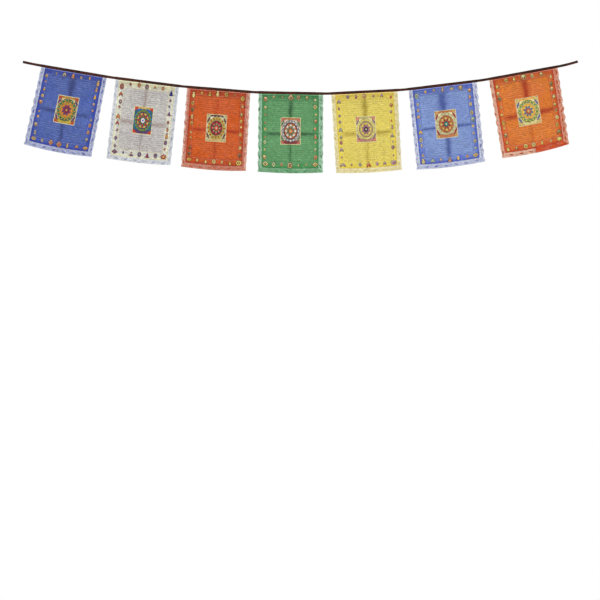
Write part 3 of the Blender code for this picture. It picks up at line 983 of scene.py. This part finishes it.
def medallion_group():
    """The middle panel: a ring with an eight-petalled rosette, corner leaves and a petal border.

    Each layer is a distance, a colour and the width of the dark line round it, laid in order.
    """
    names = ("Ground", "Corner", "Ring", "Disc", "Petal", "Heart", "Accent", "Foot")
    tree, wires = new_group("rosette_panel", ("Across", "Down"), names)
    across, down, ground, corner, ring, disc, petal, heart, accent, foot = wires
    outline = linear(OUTLINE)
    radius = (across * across + down * down * 0.72).math("SQRT")
    angle = across.math("ARCTAN2", down * 0.85)
    petals_up = abs((across / 5.2).math("SINE"))
    corner_across, corner_down = abs(across) - 44.0, abs(down) - 58.0
    corner_radius = (corner_across * corner_across + corner_down * corner_down).math("SQRT")
    corner_angle = corner_across.math("ARCTAN2", corner_down)
    sprig_across, sprig_down = abs(across) - 37.0, abs(down) - 30.0
    layers = (
        (down * -1.0 + 44.0 - petals_up * 5.0, foot, 1.0),
        (down + 50.0 - petals_up * 3.5, disc, 0.6),
        (corner_radius - 15.0 - lobes(corner_angle, 6.0, "SINE") * 5.0, corner, 1.0),
        (corner_radius - 7.0, accent, 0.6),
        (oval(sprig_across + sprig_down * 0.5, sprig_down, 4.0, 12.0), accent, 0.6),
        (radius - 36.0 - lobes(angle, 8.0) * 3.0, ring, 1.0),
        (lobes(angle, 8.0, "SINE") * 6.0 + abs(radius - 34.0) - 4.0, petal, 0.6),
        (radius - 29.5, foot, 1.2),
        (radius - 26.5, disc, 0.6),
        (radius - 14.0 - lobes(angle, 4.0) * 11.0, petal, 1.4),
        (radius - 12.0 - lobes(angle, 4.0) * 5.0, corner, 0.6),
        (radius - 8.0 - lobes(angle, 4.0, "SINE") * 11.0, accent, 0.6),
        (radius - 8.5, heart, 1.0),
        (radius - 3.2, ground, 0.5),
    )
    colour = ground
    for distance, over, line in layers:
        colour = colour.under((distance - line).inside(0.8), outline)
        colour = colour.under(distance.inside(0.8), over)
    edge = block(across, down, PANEL_HALF_WIDE, PANEL_HALF_HIGH)
    colour = colour.under((edge + 2.4).inside(0.6).flipped(), linear(PANEL_EDGE))
    colour = colour.under(edge.strip(-2.6, 0.35, 0.5), outline)
    return finish_group(tree, colour=colour, mask=edge.inside(0.8))


# A place of the flat print. flat: the place as a vector. patchy: noise of the dye there. frame_off:
# how far it is outside the frame. side_share, foot_share, share: its place in the width of the side
# border, of the foot's and of the nearer one, from 0 at the cloth's edge. on_foot: 1 on the foot's.
Spot = namedtuple("Spot", "across down seed flat patchy frame_off side_share foot_share share on_foot")


def find_spot(across, down, seed):
    """Measure a place of the flat print against its frame and its borders."""
    flat = vector(across, down, seed)
    patchy = noise(flat, 0.035, 3.0)
    frame_off = block(across, down - FRAME_MIDDLE, FRAME_HALF_WIDE, FRAME_HALF_HIGH)
    side_share = (abs(across) * -1.0 + CLOTH_WIDE / 2) / SIDE_BORDER
    foot_share = (down * -1.0 + CLOTH_HIGH) / FOOT_BORDER
    share, on_foot = side_share.least(foot_share), foot_share < side_share
    return Spot(across, down, seed, flat, patchy, frame_off, side_share, foot_share, share, on_foot)


def print_cloth(parts, spot, dyes_and_shade):
    """The dyed cloth inside and outside the frame, its darker top under the tape, partly painted shade,
    its ruled lines and the frame's thin lines.
    """
    down, patchy, frame_off = spot.down, spot.patchy, spot.frame_off
    edge = (spot.share - 1.45).inside(0.4).most((down - 13.0).inside(5.0))
    deep = edge.most((patchy * 3.6 - 1.55).clamped())
    outside = dyes_and_shade.field.under(0.30, dyes_and_shade.band).under(deep, dyes_and_shade.band)
    dye = (noise(spot.flat, 0.009, 1.0) - 0.45).clamped(3.0)
    inside = dyes_and_shade.field.under(dye * 0.3, dyes_and_shade.band)
    colour = outside.under((frame_off + (patchy - 0.5) * 5.0).inside(2.5), inside)
    # darker top under the tape: partly dye, partly painted shade of the tape
    top_dye_and_shade = (down - TOP_DYE_AND_SHADE).inside(TOP_DYE_AND_SHADE) * (patchy * 0.8 + 0.2)
    colour = colour.under(top_dye_and_shade * 0.75, dyes_and_shade.line)
    ruled, glint = use_group(parts["script"], spot.across, down, spot.seed)
    in_field = (frame_off + 4.0).inside(1.0)
    colour = colour.under(glint * (in_field * 0.6 + 0.4) * 0.07, linear(GLINT))
    colour = colour.under(ruled * (in_field * 0.7 + 0.3) * 0.9, dyes_and_shade.mark)
    colour = colour.under(frame_off.strip(FRAME_LINE, 0.7, 0.8) * 0.75, dyes_and_shade.line)
    return colour.under(frame_off.strip(FRAME_PALE_LINE, 0.8, 0.8) * patchy * 0.7, dyes_and_shade.pale)


def print_border(parts, spot, dyes_and_shade, wear_and_shade, colour):
    """The brocade border laid over the cloth, with the dye that has run into it, and its line.

    The strip runs down each side and along the foot, each at a length of its own in the pattern.
    """
    share, patchy = spot.share, spot.patchy
    on_right = spot.across > 0.0
    side_along = spot.down + on_right * 170.0
    along = side_along + (spot.across + 500.0 - side_along) * spot.on_foot
    tint = use_group(parts["brocade"], along, share, spot.seed)[0]
    right_run = on_right * wear_and_shade.right_run
    border = dyes_and_shade.pale.under((tint * (right_run * 4.0 + 1.0)).clamped(), dyes_and_shade.dark)
    border = border.under(share.strip(BORDER_STEP, 0.03, 0.05) * patchy * 0.5, dyes_and_shade.dark)
    run = wear_and_shade.side_run * (share - BORDER_STEP).inside(0.1).flipped() + right_run * 0.5
    foot_run = wear_and_shade.foot_left_run + (wear_and_shade.foot_right_run - wear_and_shade.foot_left_run) * (spot.across > 4.0)
    run = run + (foot_run - run) * spot.on_foot
    border = border.under((run * (patchy * 1.2 + 0.4)).clamped(), dyes_and_shade.band)
    mitre = (spot.side_share - spot.foot_share).strip(0.0, 0.03, 0.08)
    border = border.under(mitre * 0.6, dyes_and_shade.dark)
    colour = colour.under((share - 1.0).inside(0.05), border)
    return colour.under(share.strip(1.04, 0.06, 0.06) * 0.85, dyes_and_shade.line)


def print_motifs(parts, spot, dyes_and_shade, wear_and_shade, colour):
    """The small motifs between the frame and the border, each outlined, lit from above and specked."""
    place = use_group(parts["place"], spot.across, spot.down, spot.seed, wear_and_shade.motif_size)
    across, down, cell, large = place
    kind, tone, other = chance(cell + 40.0, spot.seed)
    tone = tone * (large < 0.5) + (large > 1.5) * 0.6
    body, heart = use_group(parts["motif"], across, down, kind * 7.0 - 0.5)
    in_band = (spot.frame_off - 1.0).inside(1.0).flipped() * (spot.share - 1.1).inside(0.05).flipped()
    gem = dyes_and_shade.gem_1.under(tone > 0.48, dyes_and_shade.gem_2).under(tone > 0.76, dyes_and_shade.gem_3)
    grain = (noise(spot.flat, 0.22, 1.0) - 0.5).clamped(9.0)
    gem = gem.under(grain * 0.8, dyes_and_shade.gem_2.under(other > 0.4, dyes_and_shade.gem_3))
    # painted highlight on each small motif's upper side
    lit = (across * 0.5 + down + 1.5).inside(1.0) * wear_and_shade.motif_light
    gem = gem.under(lit, linear(MOTIF_LIGHT))
    colour = colour.under((body - 1.6).inside(1.2) * in_band * 0.8, linear(OUTLINE))
    colour = colour.under(body.inside(0.6) * in_band, gem)
    heart_colour = dyes_and_shade.gem_2.under(other > 0.5, dyes_and_shade.line)
    return colour.under(heart.inside(0.6) * in_band * 0.9, heart_colour)


def dye_mottle_and_painted_light(spot, uneven, painted_top_light):
    """Brightness of the dyed cloth about its mean, with painted light and shade.

    A sum of noises: wide clouds, slanted streaks and a finer grain for the uneven dye, and painted
    highlights on crinkles where a noise is near its middle. A line of painted light brightens it just
    under the tape, and painted shade darkens it towards the tape below that.
    """
    across, down, seed = spot.across, spot.down, spot.seed
    twist = noise(spot.flat, 0.02, 1.0) * 60.0
    across, level = across + twist, down + twist
    streaks = clouds(across * 0.07, level * 0.20, seed, detail=3.0)
    folds = clouds(across * 0.035, (down - twist) * 0.09, seed + 9.0)
    # painted highlight: thin pale lines of crinkled cloth where the noise is near its middle
    crinkle_highlight = (abs(folds - 0.5) * -9.0 + 1.0).most(0.0) * spot.patchy
    fine = clouds(across * 0.09, (down + twist * 0.6) * 0.17, seed + 5.0) * 0.84
    wide = noise(spot.flat, 0.016, 3.0)
    cloudy = wide * 0.24 + streaks * 0.45 + crinkle_highlight * 0.20 + fine + 0.19
    cloudy = (cloudy - MOTTLE_MEAN) * uneven + MOTTLE_MEAN
    # painted light on the line under the tape, and painted shade that darkens the cloth towards the
    # tape
    return cloudy + painted_top_light * 0.55 - (down - TOP_SHADE).inside(50.0) * 0.12


def print_group(parts):
    """The whole print of a flag, laid down in order: cloth, lines, a line of painted light under the
    tape, border, motifs, painted crease shade, panel, then the mottle with its painted light and shade.
    """
    places = ("Across", "Down", "Seed", "Back")
    numbers = (*places, *WearAndShade._fields)
    tree, wires = new_group("flag_print", numbers, (*Colours._fields, *Medallion._fields))
    cloth_across, down, seed, back = wires[: len(places)]
    wear_and_shade = WearAndShade(*wires[len(places) : len(numbers)])
    panel_from = len(numbers) + len(Colours._fields)
    dyes_and_shade = Colours(*wires[len(numbers) : panel_from])
    spot = find_spot(cloth_across - wear_and_shade.print_right, down, seed)
    colour = print_cloth(parts, spot, dyes_and_shade)
    # painted light: a pale line just under the tape, laid on here in the pale colour and again as
    # brightness in the mottle
    painted_top_light = down.strip(TOP_LIGHT_LINE, 1.6, 1.4)
    colour = colour.under(painted_top_light * (spot.patchy * 0.5 + 0.05), dyes_and_shade.pale)
    colour = print_border(parts, spot, dyes_and_shade, wear_and_shade, colour)
    colour = print_motifs(parts, spot, dyes_and_shade, wear_and_shade, colour)
    # painted shade along the four arms of the creases, laid on in the crease colour
    shade_on_creases = use_group(parts["crease"], cloth_across, down, seed, *wear_and_shade[CREASE_COLUMNS])[0]
    colour = colour.under(shade_on_creases, dyes_and_shade.crease)
    panel_across = (cloth_across - wear_and_shade.right) / wear_and_shade.wide
    panel_down = (down - wear_and_shade.lower - FRAME_MIDDLE) / wear_and_shade.high
    panel = use_group(parts["medallion"], panel_across, panel_down, *wires[panel_from:])
    colour = colour.under(panel[1], panel[0])
    # the dye's mottle, with painted crinkle highlights, painted light under the tape and painted shade
    # below it
    shown = brightened(colour, dye_mottle_and_painted_light(spot, wear_and_shade.mottle, painted_top_light))
    washed = shown.under(back * 0.45, dyes_and_shade.field.under(0.25, dyes_and_shade.pale))
    return finish_group(tree, print_colour=washed)


# Materials


def new_material(name, roughness, sheen):
    """A material with its shader, its tree and its constants set on the shader's own sockets."""
    material = bpy.data.materials.new(name)
    material.use_nodes = True
    shader = material.node_tree.nodes["Principled BSDF"]
    shader.inputs["Roughness"].default_value = roughness
    shader.inputs["Sheen Weight"].default_value = sheen
    shader.inputs["Sheen Roughness"].default_value = 0.4
    shader.inputs["Specular IOR Level"].default_value = 0.25
    return material, material.node_tree, shader


def add_bump(tree, shader, height, distance, strength):
    """A bump of the given height wire on a shader."""
    bump = tree.nodes.new("ShaderNodeBump")
    bump.inputs["Strength"].default_value = strength
    bump.inputs["Distance"].default_value = distance
    plug(height, bump.inputs["Height"])
    tree.links.new(bump.outputs[0], shader.inputs["Normal"])


def surface_place(tree, wide, high):
    """The piece's UV map in millimetres: across from the middle line, down from the top edge."""
    node = tree.nodes.new("ShaderNodeUVMap")
    node.uv_map = "cloth"
    parts = tree.nodes.new("ShaderNodeSeparateXYZ")
    tree.links.new(node.outputs[0], parts.inputs[0])
    across = (Wire(tree, parts.outputs[0]) - 0.5) * wide
    down = Wire(tree, parts.outputs[1]).flipped() * high
    return across, down


def flag_material(flag, parts):
    """Printed cloth of one flag: the shared print in its own colours, wear and painted shade and light,
    on a weave.
    """
    settings = string_settings()
    number = FLAGS.index(flag)
    row = settings.flags[flag.name]
    material, tree, shader = new_material(flag.name + "_print", settings.cloth.roughness, 0.04)
    across, down = surface_place(tree, CLOTH_WIDE, CLOTH_HIGH)
    side = tree.nodes.new("ShaderNodeAttribute")
    side.attribute_name = "side"
    back = Wire(tree, side.outputs["Fac"]).flipped()
    colours = [linear([255.0 * part for part in getattr(row, name)]) for name in Colours._fields]
    panel = [linear(colour) for colour in MEDALLIONS[number]]
    seed = 3.0 + 7.0 * number
    wear_and_shade = WEAR_AND_SHADE[number]
    colour = use_group(parts["print"], across, down, seed, back, *wear_and_shade, *colours, *panel)[0]
    height, shade = use_group(parts["weave"], across, down, settings.cloth.weave_pitch)
    plug(brightened(colour, shade * 0.36 + 0.82), shader.inputs["Base Color"])
    plug(shade * 0.3 + settings.cloth.roughness - 0.15, shader.inputs["Roughness"])
    add_bump(tree, shader, height, 0.0002, 0.6)
    return material


def tape_material(parts):
    """Brown binding tape: the shared weave, coarser, with two bands of painted highlight along its
    length, and cloudy dye.
    """
    tape = string_settings().tape
    material, tree, shader = new_material("tape_cloth", 0.85, 0.0)
    along, around = surface_place(tree, SPAN * 1000.0, TAPE_ROUND)
    height, shade = use_group(parts["weave"], along + around * 0.5, around, TAPE_WEAVE)
    cloudy = clouds(along, around, scale=0.02, detail=3.0)
    # painted highlight: two bands along the tape's length are turned lighter
    highlight_bands = around.strip(8.2, 1.6, 2.4).most(around.strip(16.6, 0.8, 1.6))
    share = (shade * 0.9 + cloudy * 0.9 + highlight_bands * 0.35 - 0.80).clamped(1.6)
    colour = blend(tree, share, linear([255.0 * part for part in tape.colour]), linear(TAPE_LIGHT))
    plug(colour, shader.inputs["Base Color"])
    add_bump(tree, shader, height, 0.0003, 0.8)
    return material


def thread_material(name, colour):
    """Sewing thread: a twist of fine slanted ridges, with a painted highlight on their crests."""
    material, tree, shader = new_material(name, 0.6, 0.3)
    node = tree.nodes.new("ShaderNodeTexCoord")
    parts = tree.nodes.new("ShaderNodeSeparateXYZ")
    tree.links.new(node.outputs["Object"], parts.inputs[0])
    x, z = Wire(tree, parts.outputs[0]), Wire(tree, parts.outputs[2])
    twist = ((x + z * 0.6) * TWIST_PACE).math("SINE") * 0.5 + 0.5
    # painted highlight: the colour turns lighter on each ridge's crest, where the bump rises
    light = tuple(min(1.0, 1.5 * part) for part in linear(colour)[:3])
    plug(blend(tree, twist, linear(colour), (*light, 1.0)), shader.inputs["Base Color"])
    add_bump(tree, shader, twist, 0.0001, 0.5)
    return material


def floor_material():
    """Pale matt floor with a faint mottle and a little glow."""
    material, tree, shader = new_material("studio_floor", 0.9, 0.0)
    node = tree.nodes.new("ShaderNodeTexCoord")
    cloudy = noise(Wire(tree, node.outputs["Object"]), 1.5)
    light = linear(FLOOR_COLOUR)
    plug(blend(tree, cloudy * 0.2, light, FLOOR_SHADE), shader.inputs["Base Color"])
    shader.inputs["Emission Color"].default_value = (1.0, 1.0, 1.0, 1.0)
    shader.inputs["Emission Strength"].default_value = FLOOR_GLOW
    return material


# Settings


def colour_setting(name, description, colour):
    """A colour property, its default given as 8-bit screen values."""
    return FloatVectorProperty(
        name=name,
        description=description,
        default=tuple(part / 255.0 for part in colour),
        min=0.0,
        max=1.0,
        size=3,
        subtype="COLOR_GAMMA",
    )


def length_setting(name, description, metres):
    """A length property."""
    kind = {"subtype": "DISTANCE", "unit": "LENGTH", "precision": 5}
    return FloatProperty(name=name, description=description, default=metres, min=0.0, **kind)


def number_setting(name, description, value, least=0.0, most=1000.0):
    """A plain number property."""
    return FloatProperty(name=name, description=description, default=value, min=least, max=most)


class FLAGSTRING_PG_colours(PropertyGroup):
    """Cloth and print colours of one flag, and the colour of its painted crease shade."""

    name: StringProperty(name="Flag", description="The flag with these colours", default="flag_1_blue")
    field: colour_setting("Field", "Cloth inside the frame line", CLOTH_COLOURS[0].field)
    band: colour_setting("Band", "Cloth between the frame line and the border", CLOTH_COLOURS[0].band)
    pale: colour_setting("Border", "Pale ground of the brocade border", CLOTH_COLOURS[0].pale)
    dark: colour_setting("Flecks", "Darker flecks of the brocade border", CLOTH_COLOURS[0].dark)
    line: colour_setting("Line", "Thin printed lines", CLOTH_COLOURS[0].line)
    mark: colour_setting("Ruled lines", "Broken ruled lines of the field", CLOTH_COLOURS[0].mark)
    # the colour of the painted shade along the creases
    crease: colour_setting("Creases", "Cloth along the worn creases", CLOTH_COLOURS[0].crease)
    gem_1: colour_setting("First motif", "Most of the small motifs", CLOTH_COLOURS[0].gem_1)
    gem_2: colour_setting("Second motif", "Some of the small motifs", CLOTH_COLOURS[0].gem_2)
    gem_3: colour_setting("Third motif", "A few of the small motifs", CLOTH_COLOURS[0].gem_3)


class FLAGSTRING_PG_cloth(PropertyGroup):
    """Sizes of the flags' cloth and its relief."""

    thick: length_setting("Cloth", "Thickness of the single cloth", 0.0005)
    hem_wide: length_setting("Hem", "Width of the turned hem", 0.0065)
    hem_thick: length_setting("Hem thickness", "Thickness at the middle of the hem", 0.0013)
    ripple: length_setting("Ripples", "Depth of the ripples", 0.00050)
    dent: length_setting("Dents", "Depth of the largest dents", 0.0014)
    crease_line: length_setting("Crease line", "Depth of the sharp line in each crease", 0.0004)
    pucker: length_setting("Puckers", "Depth of the puckers by the hems", 0.0008)
    pucker_length: length_setting("Pucker length", "Distance between two puckers", 0.021)
    stitch_pitch: length_setting("Stitches", "Distance between two hem stitches", 0.0034)
    thread: length_setting("Thread", "Radius of the hem thread", 0.00018)
    weave_pitch: number_setting("Weave", "Millimetres from one thread to the next", 0.8, least=0.2)
    roughness: number_setting("Roughness", "Roughness of the cloth", 0.68, most=1.0)


class FLAGSTRING_PG_tape(PropertyGroup):
    """Sizes and colour of the header tape."""

    colour: colour_setting("Tape", "Dye of the header tape", TAPE_COLOUR)
    stitch_pitch: length_setting("Stitches", "Distance between two stitches", 0.0040)
    stitch_drop: length_setting("Seam", "Distance of the seam below the tape's middle line", 0.0026)
    proud: length_setting("Soft edges", "How far the cloth stands above and below its solid", 0.0004)
    dimple: length_setting("Dimple", "Depth to which a stitch draws the tape in", 0.00035)
    thread: length_setting("Thread", "Radius of the tape's thread", 0.00022)


class FLAGSTRING_PG_stage(PropertyGroup):
    """Floor, light and framing."""

    floor_drop: length_setting("Floor", "How far the floor lies below the string's ends", 2.30)
    frame_wide: length_setting("Frame", "Width of the picture at the string", 2.52)
    sky: number_setting("Sky", "Strength of the even studio light", 0.44)
    key: number_setting("Key", "Power of the soft main light, watts", 308.0)
    fill: number_setting("Fill", "Power of the soft light behind, watts", 220.0)


class FLAGSTRING_PG_settings(PropertyGroup):
    """All settings of the flag string."""

    cloth: PointerProperty(type=FLAGSTRING_PG_cloth)
    tape: PointerProperty(type=FLAGSTRING_PG_tape)
    stage: PointerProperty(type=FLAGSTRING_PG_stage)
    flags: CollectionProperty(type=FLAGSTRING_PG_colours)


def fill_colours(settings):
    """One row of colours for each flag, from the table."""
    settings.flags.clear()
    for flag, colours in zip(FLAGS, CLOTH_COLOURS):
        row = settings.flags.add()
        row.name = flag.name
        for name, colour in zip(Colours._fields, colours):
            setattr(row, name, [part / 255.0 for part in colour])


# Operators


def add_light(name, power, place):
    """A soft square light that faces the string."""
    data = bpy.data.lights.new(name, "AREA")
    data.energy = power
    data.size = LIGHT_SIZE
    lamp = bpy.data.objects.new(name, data)
    bpy.context.scene.collection.objects.link(lamp)
    lamp.location = place
    aim = np.array(LIT_PLACE) - np.array(place)
    flat = math.hypot(aim[0], aim[1])
    lamp.rotation_euler = (math.atan2(flat, -aim[2]), 0.0, math.atan2(-aim[0], aim[1]))


def make_world(strength):
    """Even white light, and plain white where the camera looks past the string."""
    world = bpy.data.worlds.new("studio")
    world.use_nodes = True
    tree = world.node_tree
    background = tree.nodes["Background"]
    background.inputs["Color"].default_value = (1.0, 1.0, 1.0, 1.0)
    path = tree.nodes.new("ShaderNodeLightPath")
    seen = Wire(tree, path.outputs["Is Camera Ray"])
    plug(seen * (1.0 - strength) + strength, background.inputs["Strength"])
    bpy.context.scene.world = world


class FLAGSTRING_OT_stage(Operator):
    """Make the camera, the light and the floor"""

    bl_idname = "flag_string.make_stage"
    bl_label = "Make the stage"

    def execute(self, context):
        stage = context.scene.flag_string.stage
        middle_x, middle_z = VIEW_MIDDLE
        data = bpy.data.cameras.new("camera")
        data.type = "ORTHO"
        data.ortho_scale = stage.frame_wide
        camera = bpy.data.objects.new("camera", data)
        context.scene.collection.objects.link(camera)
        camera.location = (middle_x, -CAMERA_AWAY, middle_z)
        camera.rotation_euler = (math.pi / 2, 0.0, 0.0)
        context.scene.camera = camera
        context.scene.view_settings.view_transform = "Standard"
        make_world(stage.sky)
        add_light("key_light", stage.key, KEY_PLACE)
        add_light("back_light", stage.fill, BACK_PLACE)
        corners = np.array([[-1, -1], [1, -1], [1, 1], [-1, 1]]) * FLOOR_SIZE / 2
        points = np.column_stack([corners + (middle_x, 0.0), np.full(4, -stage.floor_drop)])
        mesh = make_mesh("floor", points, np.array([[0, 1, 2, 3]]))
        mesh.materials.append(floor_material())
        floor = bpy.data.objects.new("floor", mesh)
        context.scene.collection.objects.link(floor)
        return {"FINISHED"}


def shared_groups():
    """The node groups, built once and kept by name."""
    if "flag_print" not in bpy.data.node_groups:
        parts = {
            "script": script_group(),
            "brocade": brocade_group(),
            "place": motif_place_group(),
            "motif": motif_group(),
            "crease": crease_shade_group(),
            "medallion": medallion_group(),
        }
        print_group(parts)
        weave_group()
    return {"print": bpy.data.node_groups["flag_print"], "weave": bpy.data.node_groups["plain_weave"]}


class FLAGSTRING_OT_tape(Operator):
    """Make the folded header tape"""

    bl_idname = "flag_string.make_tape"
    bl_label = "Make the tape"

    def execute(self, context):
        piece = add_piece(tape_mesh(), tape_material(shared_groups()))
        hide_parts("header_tape")
        thread = thread_material("tape_thread", THREAD_COLOUR)
        stitches = add_piece(tape_stitches(), thread)
        return {"FINISHED"}


class FLAGSTRING_OT_flags(Operator):
    """Make the seven printed flags, hung from the tape"""

    bl_idname = "flag_string.make_flags"
    bl_label = "Make the flags"

    def execute(self, context):
        if "header_tape_cloth" not in bpy.data.objects:
            raise RuntimeError("make the tape before the flags")
        parts = shared_groups()
        for flag in FLAGS:
            piece = add_piece(flag_mesh(flag), flag_material(flag, parts))
            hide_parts(flag.name)
            pale = context.scene.flag_string.flags[flag.name].pale
            thread_colour = [PALE_THREAD * part for part in pale]
            thread = thread_material(flag.name + "_thread", thread_colour)
            stitches = add_piece(hem_stitches(flag), thread)
            flat = (round((flag.top + flag.hem) / 2, 3), round(TUCK + flag.drop, 3))
        return {"FINISHED"}


class FLAGSTRING_PT_panel(Panel):
    """Lists the steps that make the flag string."""

    bl_idname = "FLAGSTRING_PT_panel"
    bl_label = "Prayer flag string"
    bl_space_type = "VIEW_3D"
    bl_region_type = "UI"
    bl_category = "Flags"

    def draw(self, context):
        settings = context.scene.flag_string
        for step in STEPS:
            self.layout.operator(step.bl_idname)
        for group in (settings.stage, settings.tape, settings.cloth, *settings.flags):
            box = self.layout.box()
            for name in group.__annotations__:
                box.prop(group, name)


STEPS = (FLAGSTRING_OT_stage, FLAGSTRING_OT_tape, FLAGSTRING_OT_flags)
CLASSES = (
    FLAGSTRING_PG_colours,
    FLAGSTRING_PG_cloth,
    FLAGSTRING_PG_tape,
    FLAGSTRING_PG_stage,
    FLAGSTRING_PG_settings,
    *STEPS,
    FLAGSTRING_PT_panel,
)


def register():
    """Register every class and hang the settings on the scene."""
    for item in CLASSES:
        bpy.utils.register_class(item)
    bpy.types.Scene.flag_string = PointerProperty(type=FLAGSTRING_PG_settings)


def unregister():
    """Take the settings and the classes away again."""
    del bpy.types.Scene.flag_string
    for item in reversed(CLASSES):
        bpy.utils.unregister_class(item)


def main():
    register()
    fill_colours(bpy.context.scene.flag_string)
    bpy.ops.flag_string.make_stage()
    bpy.ops.flag_string.make_tape()
    bpy.ops.flag_string.make_flags()


if __name__ == "__main__":
    main()
